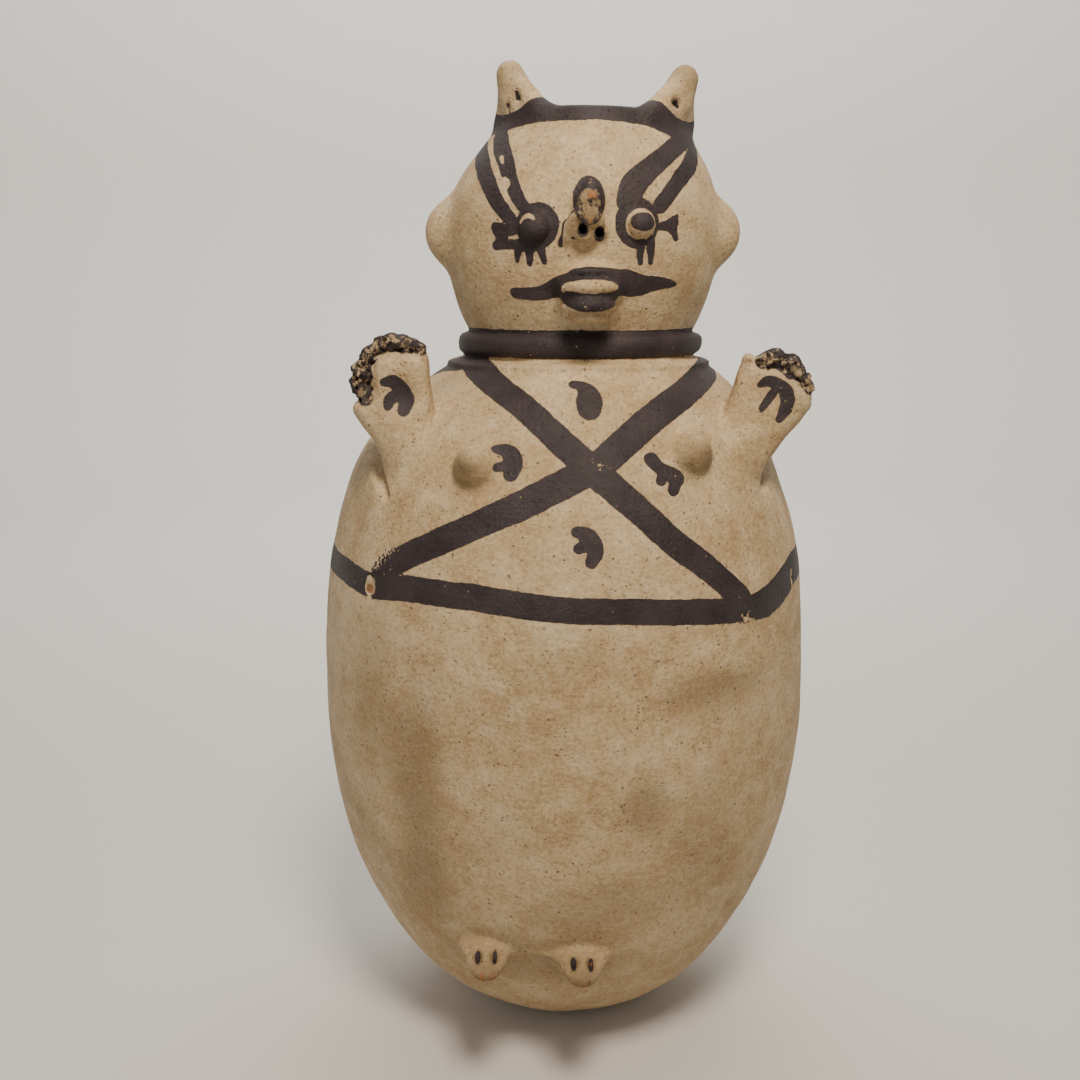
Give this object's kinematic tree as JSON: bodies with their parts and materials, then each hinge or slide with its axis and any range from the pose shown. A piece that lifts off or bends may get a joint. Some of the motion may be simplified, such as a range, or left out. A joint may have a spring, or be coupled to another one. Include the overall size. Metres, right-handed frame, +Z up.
{
  "type": "face-neck effigy jar",
  "caption": "Hollow ovoid fired-clay jar shaped as a horned figure, its head the neck, with raised arms, small feet and dark painted bands.",
  "frame": {"origin": "middle of the flat base, on the surface that the jar stands on", "axes": "+Z up along the jar, the face and belly look along -Y, +X to the viewer's right"},
  "size_m": [0.2298, 0.2143, 0.449],
  "materials": {
    "slip_painted_clay": "matte cream slip over orange fired clay, lightly burnished, with dark brown painted bands, worn and stained"
  },
  "bodies": {
    "root": {"effigy_jar": "slip_painted_clay"}
  },
  "joints": []
}
